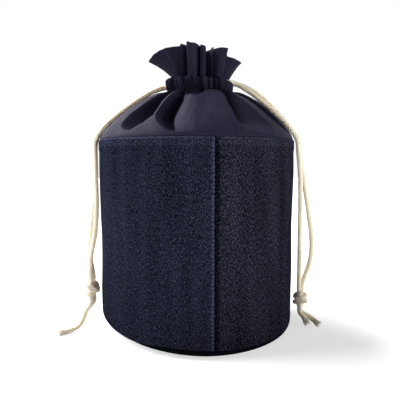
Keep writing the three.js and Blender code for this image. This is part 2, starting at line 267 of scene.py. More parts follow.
class Socket:
    """A shader value that takes part in Python sums, each of which adds a Math node."""

    def __init__(self, graph: Graph, socket: bpy.types.NodeSocket) -> None:
        """Keeps a socket and the graph that holds it."""
        self.graph = graph
        self.socket = socket

    def _math(self, operation: str, first: Value, second: Value) -> Socket:
        """Adds a Math node of two values."""
        return self.graph.node("ShaderNodeMath", {"operation": operation}, {0: first, 1: second})

    def __add__(self, other: Value) -> Socket:
        """Adds a value."""
        return self._math("ADD", self, other)

    def __radd__(self, other: Value) -> Socket:
        """Is added to a value."""
        return self._math("ADD", other, self)

    def __sub__(self, other: Value) -> Socket:
        """Takes a value away."""
        return self._math("SUBTRACT", self, other)

    def __rsub__(self, other: Value) -> Socket:
        """Is taken away from a value."""
        return self._math("SUBTRACT", other, self)

    def __mul__(self, other: Value) -> Socket:
        """Multiplies by a value."""
        return self._math("MULTIPLY", self, other)

    def __rmul__(self, other: Value) -> Socket:
        """Is multiplied with a value."""
        return self._math("MULTIPLY", other, self)

    def largest(self, other: Value) -> Socket:
        """The larger of this and another value."""
        return self._math("MAXIMUM", self, other)

    def sine(self) -> Socket:
        """The sine of this value."""
        return self._math("SINE", self, 0.0)

    def wave(self, length: float) -> Socket:
        """A wave from -1 to 1 that comes again as this value grows by a length."""
        return (self * (FULL_TURN / length)).sine()

    def eased(self, low: float, high: float) -> Socket:
        """An even rise from 0 to 1 as this value goes from low to high."""
        sockets = {"Value": self, "From Min": low, "From Max": high}
        return self.graph.node("ShaderNodeMapRange", {"interpolation_type": "SMOOTHSTEP"}, sockets)

    def output(self, name: str) -> Socket:
        """Another output of the same node."""
        return Socket(self.graph, self.socket.node.outputs[name])


Value = Union[Socket, float]


class Graph:
    """The nodes of a material or of the world, added one at a time."""

    def __init__(self, owner: bpy.types.Material | bpy.types.World) -> None:
        """Clears the owner's nodes and keeps its tree.

        Args:
            owner: What the nodes belong to.
        """
        owner.use_nodes = True
        self.tree = owner.node_tree
        self.tree.nodes.clear()

    def node(self, kind: str, settings: Mapping[str, object], sockets: Mapping[int | str, object]) -> Socket:
        """Adds a node.

        Args:
            kind: The node's type.
            settings: Its settings, which are set first.
            sockets: Values or links of its inputs, by place or name.

        Returns:
            Its first output in use.
        """
        node = self.tree.nodes.new(kind)
        for name, setting in settings.items():
            setattr(node, name, setting)
        for key, value in sockets.items():
            if isinstance(value, Socket):
                self.tree.links.new(value.socket, node.inputs[key])
            else:
                node.inputs[key].default_value = value
        outputs = [socket for socket in node.outputs if socket.enabled]
        return Socket(self, outputs[0] if outputs else None)

    def mix(self, share: Value, first: Socket | Colour, second: Socket | Colour) -> Socket:
        """A colour between two colours."""
        return self.node("ShaderNodeMix", {"data_type": "RGBA"}, {0: share, 6: first, 7: second})

    def cloth(self) -> Socket:
        """Metres across and along the cloth, as it was cut."""
        return self.node("ShaderNodeUVMap", {"uv_map": CLOTH_MAP}, {})

    def split(self, vector: Socket) -> tuple[Socket, Socket]:
        """The first two numbers of a vector."""
        parts = self.node("ShaderNodeSeparateXYZ", {}, {0: vector})
        return parts, parts.output("Y")

    def noise(self, vector: Socket, scale: tuple[float, float], detail: float = 2.0) -> Socket:
        """Cloudy noise from 0 to 1.

        Args:
            vector: Place on the cloth.
            scale: Clouds in a metre, across and along.
            detail: Number of finer layers.

        Returns:
            The noise.
        """
        stretched = self.node("ShaderNodeMapping", {}, {"Vector": vector, "Scale": (*scale, 1.0)})
        sockets = {"Vector": stretched, "Scale": 1.0, "Detail": detail}
        return self.node("ShaderNodeTexNoise", {"noise_dimensions": "2D"}, sockets)

    def bump(self, height: Socket, depth: float, strength: float = 1.0) -> Socket:
        """A normal bent by a height from 0 to 1 that stands for a depth in metres."""
        return self.node("ShaderNodeBump", {}, {"Height": height, "Distance": depth, "Strength": strength})

    def surface(self, sockets: Mapping[str, object]) -> None:
        """Ends the graph with a Principled surface."""
        shader = self.node("ShaderNodeBsdfPrincipled", {}, sockets)
        self.node("ShaderNodeOutputMaterial", {}, {"Surface": shader})


@dataclass(frozen=True)
class ClothFinish:
    """A finish that lies on the flat cloth, or round and along a cord, mapped in metres."""

    name: str

    def material(self) -> bpy.types.Material:
        """Makes the material.

        Returns:
            The material.
        """
        material = bpy.data.materials.new(self.name)
        graph = Graph(material)
        cloth = graph.cloth()
        graph.surface(self._sockets(graph, cloth, *graph.split(cloth)))
        return material

    def _sockets(self, graph: Graph, cloth: Socket, across: Socket, along: Socket) -> Mapping[str, object]:
        """The sockets of the surface.

        Args:
            graph: The material's nodes.
            cloth: Place on the cloth.
            across: Metres across it.
            along: Metres along it.

        Returns:
            Values or links, by the names of the sockets.
        """
        raise NotImplementedError


@dataclass(frozen=True)
class DenimFinish(ClothFinish):
    """Dark denim: a waving twill, slubs along the warp, pale picks and specks of weft, and a hem worn paler.

    A row of stitches shows at the edge, which is given by how far across it lies, and the first edge may take
    a dark band of painted shade, as if the seam's dip lay in shadow.
    """

    warp: Colour
    weft: Colour
    fleck: float
    edge: float = 1.0
    # strength of the painted shade along the first edge
    groove_shade: float = 0.0
    twill_pitch: float = 0.0027
    twill_turn: float = 0.0085
    twill_swing: float = 3.0
    twill_waver: float = 4.0
    stitch: float = 0.0030
    stitch_row: tuple[float, float] = (0.0034, 0.0012)
    shade_band_width: tuple[float, float] = (0.0022, 0.0048)
    hem_edge: tuple[float, float] = (-0.0024, -0.0008)
    hem_foot: tuple[float, float] = (-0.0078, -0.0070)
    base_tone: float = 0.3
    weave_depth: float = 0.00035

    def _sockets(self, graph: Graph, cloth: Socket, across: Socket, along: Socket) -> Mapping[str, object]:
        """The denim's sockets, from its weave and its edges.

        Args:
            graph: The material's nodes.
            cloth: Place on the cloth.
            across: Metres from its left edge.
            along: Metres up from its hem, so negative.

        Returns:
            Values or links, by the names of the sockets.
        """
        zigzag = across.wave(self.twill_turn) * self.twill_swing
        waver = graph.noise(cloth, (160.0, 110.0)) * self.twill_waver
        rib = (along * (FULL_TURN / self.twill_pitch) + zigzag + waver).sine() * 0.5 + 0.5
        slub = graph.noise(cloth, (1500.0, 340.0), 1.0)
        pick = graph.noise(cloth, (420.0, 1300.0), 1.0)
        wash = graph.noise(cloth, (70.0, 8.0), 3.0)
        speck = graph.noise(cloth, (950.0, 800.0), 0.0).eased(0.66, 0.8)
        woven = slub + pick * 0.5 + rib * 0.13 + wash * 0.4 + speck * 0.5 - 1.07
        worn = along.eased(*self.hem_edge) * 0.7 + along.eased(*self.hem_foot) * 0.12
        stitches = along.wave(self.stitch) * 0.5 + 0.6
        sewn = across.eased(*(self.edge - inward for inward in self.stitch_row)) * stitches * 0.5
        # painted shade: a dark band along the first edge stands for the shadow beside the seam
        sunk = (1.0 - across.eased(*self.shade_band_width)) * self.groove_shade
        pale = woven * self.fleck + worn * (pick * 2.6 - 0.5) + sewn - sunk + self.base_tone
        relief = rib * 0.06 + slub * 0.3 + pick * 0.3
        return {
            "Base Color": graph.mix(pale.eased(0.0, 1.0), self.warp, self.weft),
            "Roughness": 0.95,
            "Specular IOR Level": 0.0,
            "Normal": graph.bump(relief, self.weave_depth),
        }


@dataclass(frozen=True)
class SateenFinish(ClothFinish):
    """Smooth dark cotton with a soft lustre, faintly uneven."""

    dark: Colour
    light: Colour
    roughness: float = 0.42
    thread: float = 0.00042
    gloss: float = 0.014
    gloss_tint: Colour = (0.72, 0.70, 1.0, 1.0)
    depth: float = 0.0022

    def _sockets(self, graph: Graph, cloth: Socket, across: Socket, along: Socket) -> Mapping[str, object]:
        """The cotton's sockets, from its threads and cloudy creases.

        Args:
            graph: The material's nodes.
            cloth: Place on the cloth.
            across: Metres round the bag.
            along: Metres up from the denim.

        Returns:
            Values or links, by the names of the sockets.
        """
        weave = across.wave(self.thread) * along.wave(self.thread)
        thread = graph.noise(cloth, (420.0, 900.0), 1.0)
        cloud = graph.noise(cloth, (45.0, 30.0), 3.0)
        tone = (cloud * 0.6 + thread * 0.4).eased(0.3, 0.7)
        shine = 1.0 - (cloud - 0.5) * 0.35
        return {
            "Base Color": graph.mix(tone, self.dark, self.light),
            "Roughness": shine * self.roughness,
            "Specular IOR Level": self.gloss,
            "Specular Tint": self.gloss_tint,
            "Normal": graph.bump(cloud + (weave * 0.3 + thread * 0.7) * 0.05, self.depth),
        }


@dataclass(frozen=True)
class CordFinish(ClothFinish):
    """Undyed cotton cord: soft yarns that wind round it, with painted shade between them, and let some light
    through.
    """

    pale: Colour
    deep: Colour
    girth: float
    lay: float
    yarns: int
    glow: float = 0.5
    glow_depth: float = 0.002
    depth: float = 0.0003

    def _sockets(self, graph: Graph, cloth: Socket, across: Socket, along: Socket) -> Mapping[str, object]:
        """The cord's sockets, from its yarns and fibres.

        Args:
            graph: The material's nodes.
            cloth: Place on the cord.
            across: Metres round it.
            along: Metres along it.

        Returns:
            Values or links, by the names of the sockets.
        """
        turn = FULL_TURN * self.yarns
        yarn = (across * (turn / self.girth) - along * (turn / self.lay)).sine() * 0.5 + 0.5
        fibre = graph.noise(cloth, (1500.0, 420.0))
        patch = graph.noise(cloth, (30.0, 55.0))
        # the yarn wave darkens the colour between the yarns: painted shade
        tone = (yarn * 0.3 + fibre * 0.45 + patch * 0.4).eased(0.3, 0.75)
        return {
            "Base Color": graph.mix(tone, self.deep, self.pale),
            "Roughness": 0.95,
            "Specular IOR Level": 0.0,
            "Subsurface Weight": self.glow,
            "Subsurface Radius": (1.0, 1.0, 1.0),
            "Subsurface Scale": self.glow_depth,
            "Normal": graph.bump(yarn * 0.5 + fibre * 0.5, self.depth),
        }


@dataclass(frozen=True)
class FloorFinish:
    """A white sweep that the eye sees as white wherever no shadow falls."""

    name: str = "white_sweep"
    paper: Colour = (0.66, 0.66, 0.66, 1.0)
    lift: float = 0.6

    def material(self) -> bpy.types.Material:
        """Makes the material.

        Returns:
            Matt paper, which also glows a little where it is seen rather than lit from.
        """
        material = bpy.data.materials.new(self.name)
        graph = Graph(material)
        paper = graph.node("ShaderNodeBsdfDiffuse", {}, {"Color": self.paper})
        glow = graph.node("ShaderNodeEmission", {}, {"Strength": seen_directly(graph) * self.lift})
        both = graph.node("ShaderNodeAddShader", {}, {0: paper, 1: glow})
        graph.node("ShaderNodeOutputMaterial", {}, {"Surface": both})
        return material


def seen_directly(graph: Graph) -> Socket:
    """1 where the camera sees a place, also in gloss or through glass, and 0 where light bounces from it."""
    path = graph.node("ShaderNodeLightPath", {}, {})
    return path.largest(path.output("Is Glossy Ray")).largest(path.output("Is Transmission Ray"))


@dataclass(frozen=True)
class Lamp:
    """A distant soft lamp: its strength, the angle that it fills in degrees, and where it shines from."""

    name: str
    strength: float
    angle: float
    place: tuple[float, float, float]

    def light(self) -> None:
        """Adds the lamp to the scene."""
        data = bpy.data.lights.new(self.name, "SUN")
        data.energy = self.strength
        data.angle = math.radians(self.angle)
        x, y, z = self.place
        turn = (math.atan2(math.hypot(x, y), z), 0, math.atan2(x, -y))
        add_object(self.name, data).rotation_euler = turn


@dataclass(frozen=True)
class Spot:
    """A lamp that shines straight down on the sweep, which throws its light back.

    Its power is in watts, its cone in degrees, and its blend is the share of the cone that fades.
    """

    name: str
    power: float
    cone: float
    place: tuple[float, float, float]
    blend: float = 0.7

    def light(self) -> None:
        """Adds the lamp to the scene."""
        data = bpy.data.lights.new(self.name, "SPOT")
        data.energy = self.power
        data.spot_size = math.radians(self.cone)
        data.spot_blend = self.blend
        add_object(self.name, data).location = self.place


@dataclass
class Studio:
    """The camera, soft lights from both sides, one that the floor throws back, and a white sweep."""

    distance: float = 0.420
    eye_height: float = 0.158
    aside: float = 0.0033
    tilt: float = 0.096
    focal_pixels: float = 440.0
    lamps: tuple[Lamp, ...] = (
        Lamp("left_key", 9.0, 56.0, (-0.69, 0.30, 0.66)),
        Lamp("right_fill", 2.4, 40.0, (0.93, -0.34, 0.12)),
    )
    bounce: Spot = Spot("front_bounce", 52.0, 52.0, (0.03, -0.38, 0.55))
    sky: float = 0.05
    floor_side: float = 6.0
    sweep: FloorFinish = field(default_factory=FloorFinish)

    def build(self) -> None:
        """Makes everything that isn't the bag."""
        self._camera()
        for lamp in (*self.lamps, self.bounce):
            lamp.light()
        self._sky()
        self._floor()
        bpy.context.scene.view_settings.view_transform = "Standard"

    def _camera(self) -> None:
        """Sets the camera in front of the bag, a little above its middle."""
        data = bpy.data.cameras.new("camera")
        data.sensor_width = SENSOR
        data.lens = self.focal_pixels * SENSOR / IMAGE_SIDE
        data.clip_start = 0.01
        camera = add_object("camera", data)
        camera.location = (self.aside, -self.distance, self.eye_height)
        camera.rotation_euler = (math.pi / 2 - self.tilt, 0, 0)
        bpy.context.scene.camera = camera

    def _sky(self) -> None:
        """Fills the shadows from all round, and shows white to the camera."""
        world = bpy.data.worlds.new("fill")
        bpy.context.scene.world = world
        graph = Graph(world)
        strength = self.sky + seen_directly(graph) * (1.0 - self.sky)
        background = graph.node("ShaderNodeBackground", {}, {"Color": (1, 1, 1, 1), "Strength": strength})
        graph.node("ShaderNodeOutputWorld", {}, {"Surface": background})

    def _floor(self) -> None:
        """Lays the white sweep that the bag stands on."""
        half = self.floor_side / 2
        corners = [(-half, -half, 0), (half, -half, 0), (half, half, 0), (-half, half, 0)]
        mesh = bpy.data.meshes.new("white_sweep")
        mesh.from_pydata(corners, [], [(0, 1, 2, 3)])
        mesh.materials.append(self.sweep.material())
        add_object("white_sweep", mesh)


@dataclass
class Sewn:
    """Points and faces of a piece, gathered before it becomes an object."""

    points: list[Array] = field(default_factory=list)
    maps: list[Array] = field(default_factory=list)
    faces: list[tuple[int, ...]] = field(default_factory=list)
    count: int = 0

    def add_points(self, points: Array, cloth: Array) -> Array:
        """Adds a grid of points.

        Args:
            points: Points in rows and columns.
            cloth: Their places on the flat cloth.

        Returns:
            Their numbers, in the same rows and columns.
        """
        shape = points.shape[:-1]
        size = int(np.prod(shape))
        numbers = np.arange(self.count, self.count + size).reshape(shape)
        self.points.append(points.reshape(-1, 3))
        self.maps.append(np.broadcast_to(cloth, (*shape, 2)).reshape(-1, 2))
        self.count += size
        return numbers

    def add_strip(self, first: Array, second: Array) -> None:
        """Joins two lines of points, with the second to the left of the first as one walks along it."""
        for a, b, c, d in zip(first[:-1], first[1:], second[1:], second[:-1]):
            self.faces.append((int(a), int(b), int(c), int(d)))

    def add_grid(self, numbers: Array) -> None:
        """Joins each row of a grid to the next."""
        for lower, upper in zip(numbers[:-1], numbers[1:]):
            self.add_strip(lower, upper)

    def add_cap(self, ring: Array) -> None:
        """Closes a ring of points, which runs to the left as it is seen from outside."""
        self.faces.append(tuple(int(number) for number in ring))

    def add_tube(self, line: Array, radii: Array, across: float) -> None:
        """Adds a tube with closed ends.

        Args:
            line: Points down its middle.
            radii: Its radius at each of them and at each place round it.
            across: Its girth, for its map.
        """
        rows, sides = radii.shape
        tangents = np.gradient(line, axis=0)
        tangents /= np.linalg.norm(tangents, axis=1)[:, None]
        sideways = np.cross(tangents[0], STRAY)
        ring = np.linspace(0, FULL_TURN, sides, endpoint=False)
        points = np.empty((rows, sides, 3))
        for row, tangent in enumerate(tangents):
            sideways = sideways - tangent * sideways.dot(tangent)
            sideways /= np.linalg.norm(sideways)
            upward = np.cross(tangent, sideways)
            spread = np.cos(ring)[:, None] * sideways + np.sin(ring)[:, None] * upward
            points[row] = line[row] + spread * radii[row][:, None]
        numbers = self.add_points(points, together(across * ring / FULL_TURN, run_along(line)[:, None]))
        self.add_grid(wrapped(numbers))
        self.add_cap(numbers[0][::-1])
        self.add_cap(numbers[-1])

    def piece(self, name: str, material: bpy.types.Material, slot: str, *nodes: str) -> bpy.types.Object:
        """Makes the object.

        Args:
            name: The piece's name.
            material: Its finish.
            slot: Name of the material slot for its finish; not used.
            nodes: The solids that it stands for.

        Returns:
            The object, riding on the bag.
        """
        mesh = bpy.data.meshes.new(name)
        mesh.from_pydata(np.concatenate(self.points).tolist(), [], self.faces)
        corners = np.empty(len(mesh.loops), dtype=np.int32)
        mesh.loops.foreach_get("vertex_index", corners)
        layer = mesh.uv_layers.new(name=CLOTH_MAP)
        layer.uv.foreach_set("vector", np.concatenate(self.maps)[corners].astype(np.float32).ravel())
        mesh.shade_smooth()
        mesh.set_sharp_from_angle(angle=SHARP_EDGE)
        mesh.materials.append(material)
        made = add_object(name, mesh)
        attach(made, BODY)
        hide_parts(*nodes)
        LOG.info("%s: %d faces", name, len(mesh.polygons))
        return made


def wrapped(numbers: Array) -> Array:
    """A grid of points whose first column comes again as its last."""
    return np.concatenate([numbers, numbers[:, :1]], axis=1)


def sewn_shell(outer: Array, inner: Array, cloth: Array) -> Sewn:
    """A closed sheet of cloth with a thickness.

    Args:
        outer: Its outside, in rows upwards and columns towards the right.
        inner: Its inside, in the same rows and columns.
        cloth: Their places on the flat cloth.

    Returns:
        The sheet, with all its edges closed.
    """
    sheet = Sewn()
    face = sheet.add_points(outer, cloth)
    lining = sheet.add_points(inner, cloth)
    sheet.add_grid(face)
    sheet.add_grid(lining[:, ::-1])
    sheet.add_strip(face[-1], lining[-1])
    sheet.add_strip(face[0, ::-1], lining[0, ::-1])
    sheet.add_strip(face[:, 0], lining[:, 0])
    sheet.add_strip(face[::-1, -1], lining[::-1, -1])
    return sheet


@dataclass(frozen=True)
class BagForm:
    """The bag's main sizes, which its sub-assemblies share."""

    radius: float = 0.090
    height: float = 0.174
    collar_inset: float = 0.0008
    shoulder_rise: float = 0.0435
    shoulder_stand: float = 0.009
    neck_radius: float = 0.030
    neck_aside: float = 0.003
    neck_approach: float = 0.020
    neck_approach_drop: float = 0.003
    casing_height: float = 0.013
    casing_bulge: float = 0.0015
    gap: float = 0.0003

    @property
    def neck_height(self) -> float:
        """Height of the foot of the casing."""
        return self.height + self.shoulder_rise

    @property
    def casing_top(self) -> float:
        """Height of the foot of the frill."""
        return self.neck_height + self.casing_height

    def above_shoulder(self, share: Array, lift: Array) -> tuple[Array, Array]:
        """Places above the shoulder's curve.

        Args:
            share: Shares of the way from the denim to the neck.
            lift: Distances above the curve.

        Returns:
            Radii and heights.
        """
        foot = self.radius - self.collar_inset
        radii = (foot, foot, self.neck_radius + self.neck_approach, self.neck_radius)
        last = self.neck_height
        stand = self.height + self.shoulder_stand
        heights = (self.height + self.gap, stand, last - self.neck_approach_drop, last)
        places, slopes = [], []
        for a, b, c, d in (radii, heights):
            t = np.asarray(share, dtype=float)
            places.append(a * (1 - t) ** 3 + 3 * b * t * (1 - t) ** 2 + 3 * c * t**2 * (1 - t) + d * t**3)
            slopes.append(3 * ((b - a) * (1 - t) ** 2 + 2 * (c - b) * t * (1 - t) + (d - c) * t**2))
        steep = np.hypot(*slopes)
        return places[0] + slopes[1] / steep * lift, places[1] - slopes[0] / steep * lift

    def aside_at(self, height: Array) -> Array:
        """How far the collar at a height sits to the right of the body's middle."""
        return self.neck_aside * smoothstep(height, self.height, self.neck_height)

    def on_collar(self, bearing: Array, radius: Array, height: Array) -> Array:
        """Points of the collar at bearings, round the neck's own middle.

        Args:
            bearing: Degrees from the front.
            radius: Distances from the neck's axis.
            height: Heights above the floor.

        Returns:
            The points, with their three coordinates last.
        """
        points = at_bearing(bearing, radius, height)
        points[..., 0] += self.aside_at(points[..., 2])
        return points

    def beside(self, side: Side, out: float, depth: float, height: float) -> Array:
        """A point beside the wall.

        Args:
            side: Side of the bag.
            out: Distance out from the denim's face.
            depth: How far behind the middle.
            height: Height above the floor.

        Returns:
            The point.
        """
        across = math.sqrt((self.radius + out) ** 2 - depth**2)
        return np.array([side.value * across, depth, height])

    def over_shoulder(self, side: Side, share: float, lift: float, depth: float) -> Array:
        """A point over the shoulder.

        Args:
            side: Side of the bag.
            share: Share of the way from the denim to the neck.
            lift: Distance above the shoulder.
            depth: How far behind the middle.

        Returns:
            The point.
        """
        radius, height = self.above_shoulder(share, lift)
        across = side.value * math.sqrt(radius**2 - depth**2)
        return np.array([float(self.aside_at(height)) + across, depth, float(height)])


@dataclass(frozen=True)
class Strand:
    """One of the two strands of a drawcord that hang beside the bag, from its knot upwards.

    Its places beside the wall are out from the denim, behind the middle and up. Those over the shoulder are
    shares of the way to the neck, lifts and places behind the middle.
    """

    from_knot: tuple[float, float]
    wall: tuple[tuple[float, float, float], ...]
    shoulder: tuple[tuple[float, float, float], ...]


@dataclass(frozen=True)
class Tail:
    """One loose end below a knot: its places out from the knot, behind it and above the floor.

    It starts inside the knot by a length. At its end a length is frayed, and the fibres fan out by a share of
    the cord's radius.
    """

    name: str
    from_knot: tuple[float, float]
    inside: float
    places: tuple[tuple[float, float, float], ...]
    fray: float
    fan: float


@dataclass
class Drawcord:
    """A cotton cord that runs once round the casing, with both its strands tied in one knot at its side."""

    name: str
    side: Side
    form: BagForm
    knot_place: tuple[float, float, float]
    front: Strand
    back: Strand
    channel: float
    exit_rise: float
    tails: tuple[Tail, ...]
    seed: int
    knot_tilts: tuple[float, ...]
    diameter: float = 0.0045
    channel_radius: float = 0.0225
    exit_spread: float = 0.0026
    exit_turn: float = 26.0
    knot_height: float = 0.015
    knot_radius: float = 0.0049
    yarns: int = 4
    lay: float = 0.0115
    relief: float = 0.13
    turn_spacing: float = 0.62
    turn_shrink: float = 0.06
    turn_heading: float = 1.1
    turn_flatness: float = 0.92
    core_swell: tuple[float, float] = (1.75, 0.4)
    flare: float = 1.12
    flare_points: int = 8
    fibres: int = 90
    fibre_radii: tuple[float, float] = (0.00016, 0.0003)
    fibre_girth: float = 0.001
    fibre_sides: int = 4
    sides: int = 20
    step: float = 0.0007
    pale: Colour = linear(255, 243, 222)
    deep: Colour = linear(246, 225, 194)

    def __post_init__(self) -> None:
        """Places the knot, and makes the finish."""
        self.knot = self.form.beside(self.side, *self.knot_place)
        self.girth = math.pi * self.diameter
        name = f"{self.name}_cotton"
        self.cotton = CordFinish(name, self.pale, self.deep, self.girth, self.lay, self.yarns).material()

    def build(self) -> None:
        """Makes the cord, its knot and its tails."""
        route = self._route()
        strands = Sewn()
        strands.add_tube(route, self._radii(route), self.girth)
        cord = strands.piece(self.name, self.cotton, "cord_cotton", f"drawcord_{self.side.word}")
        knot = self._knot_piece()
        for tail in self.tails:
            self._tail_piece(tail)

    def _knot_end(self, offset: tuple[float, float], end: int) -> list[Array]:
        """Where a strand or tail stops at an end of the knot, and the point at which it leaves upright.

        Args:
            offset: Place across and behind the knot's middle.
            end: 1 at the top of the knot, and -1 at its foot.

        Returns:
            The two points.
        """
        reach = self.knot_height / 2 + self.form.gap
        stop = self.knot + np.array([*offset, end * reach])
        return [stop, stop + np.array([0, 0, end * self.diameter])]

    def _strand(self, strand: Strand) -> list[Array]:
        """The points of a strand, from the knot up to the casing.

        Args:
            strand: Its places.

        Returns:
            The points.
        """
        wall = [self.form.beside(self.side, *place) for place in strand.wall]
        shoulder = [self.form.over_shoulder(self.side, *place) for place in strand.shoulder]
        return [*self._knot_end(strand.from_knot, 1), *wall, *shoulder]

    def _route(self) -> Array:
        """The cord's middle, from the knot up the front strand, round the casing and down the back strand.

        Returns:
            Points along it.
        """
        outside = self.form.neck_radius + self.form.casing_bulge
        first = 90 - self.exit_turn
        bearings = self.side.value * np.linspace(first, -180 - first, 17)
        ring = self.form.on_collar(bearings, self.channel_radius, self.channel)
        ways_out = [
            np.array([self.form.neck_aside + self.side.value * outside, depth, self.channel + self.exit_rise])
            for depth in (-self.exit_spread, self.exit_spread)
        ]
        points = [*self._strand(self.front), ways_out[0], *ring, ways_out[1], *self._strand(self.back)[::-1]]
        return smooth_route(np.array(points), self.step)

    def _radii(self, line: Array, swell: Array | float = 1.0) -> Array:
        """Radii of a cord whose yarns wind round it.

        Args:
            line: Points down its middle.
            swell: Factor on its radius at each of them.

        Returns:
            A radius at each point and each place round it.
        """
        along = run_along(line)
        ring = np.linspace(0, FULL_TURN, self.sides, endpoint=False)
        phase = self.yarns * (ring - FULL_TURN * along[:, None] / self.lay)
        yarn = np.abs(np.cos(phase / 2)) ** 0.7
        uneven = 1 + 0.02 * np.sin(along * 410 + self.seed) + 0.015 * np.sin(along * 173 + 2 * self.seed)
        profile = 1 - self.relief + self.relief * yarn
        return self.diameter / 2 * profile * (uneven * swell)[:, None]

    def _knot_piece(self) -> bpy.types.Object:
        """Makes the knot: turns of cord drawn tight round the strands, one crossing over the others.

        Returns:
            The knot.
        """
        knot = Sewn()
        ring = np.linspace(0, FULL_TURN, 64)
        for number, tilt in enumerate(self.knot_tilts):
            lean = math.radians(tilt)
            lift = (number - (len(self.knot_tilts) - 1) / 2) * self.diameter * self.turn_spacing
            reach = self.knot_radius * (1.0 - self.turn_shrink * number)
            heading = number * self.turn_heading + self.seed
            rise = lift + math.tan(lean) * reach * np.cos(ring - heading)
            local = together(reach * np.cos(ring), reach * self.turn_flatness * np.sin(ring), rise)
            turn = even_steps(local + self.knot, self.step)
            swell = 1.0 + 0.05 * np.sin(np.linspace(0, 9, len(turn)))
            knot.add_tube(turn, self._radii(turn, swell), self.girth)
        half = np.array([0, 0, self.knot_height / 2])
        core = even_steps(np.array([self.knot - half, self.knot + half]), self.step)
        most, fall = self.core_swell
        swell = most - fall * np.linspace(-1, 1, len(core)) ** 2
        knot.add_tube(core, self._radii(core, swell), self.girth)
        side = self.side.word
        return knot.piece(f"{side}_knot", self.cotton, "cord_cotton", f"drawcord_{side}_knot")

    def _tail_piece(self, tail: Tail) -> None:
        """Makes a tail, which comes down through the knot and ends in loose fibres.

        Args:
            tail: Its places.
        """
        stop, leave = self._knot_end(tail.from_knot, -1)
        start = stop + np.array([0, 0, tail.inside])
        places = [
            np.array([self.knot[0] + self.side.value * out, self.knot[1] + depth, height])
            for out, depth, height in tail.places
        ]
        route = smooth_route(np.array([start, stop, leave, *places]), self.step)
        cut = max(2, len(route) - round(tail.fray / self.step))
        rope = Sewn()
        swell = np.ones(cut)
        swell[-self.flare_points :] = np.linspace(1.0, self.flare, min(self.flare_points, cut))
        rope.add_tube(route[:cut], self._radii(route[:cut], swell), self.girth)
        self._add_fibres(rope, route, cut, tail.fan)
        side = self.side.word
        node = f"drawcord_{side}_tail_{tail.name}"
        piece = rope.piece(f"{side}_{tail.name}_tail", self.cotton, "cord_cotton", node)

    def _add_fibres(self, rope: Sewn, route: Array, cut: int, fan: float) -> None:
        """Adds the loose fibres at the cut end of a tail.

        Args:
            rope: The tail so far.
            route: Its middle, to the tips of the fibres.
            cut: Number of the point where the yarns end.
            fan: How far the fibres spread, as a share of the cord's radius.
        """
        draw = np.random.default_rng(self.seed + cut)
        end = route[-1] - route[cut - 1]
        length = float(np.linalg.norm(end))
        ahead = end / length
        sideways = np.cross(ahead, (0, 0, 1.0))
        sideways /= np.linalg.norm(sideways)
        upward = np.cross(sideways, ahead)
        root = route[cut - 3]
        radius = self.diameter / 2
        t = np.linspace(0, 1, 6)[:, None]
        for _ in range(self.fibres):
            angle = draw.uniform(0, FULL_TURN)
            out = radius * math.sqrt(draw.uniform(0.02, 0.8))
            spread = math.cos(angle) * sideways + math.sin(angle) * upward
            reach = length * draw.uniform(0.55, 1.0)
            wander = spread * radius * fan * draw.uniform(0.2, 1.0) + sideways * draw.normal(0, 0.25) * radius
            fibre = root + spread * out + ahead * (reach + 2 * self.step) * t + wander * t**1.6
            fibre[:, 2] = np.maximum(fibre[:, 2], max(self.fibre_radii))
            thick = draw.uniform(*self.fibre_radii) * (1 - 0.55 * t)
            rope.add_tube(fibre, np.repeat(thick, self.fibre_sides, axis=1), self.fibre_girth)


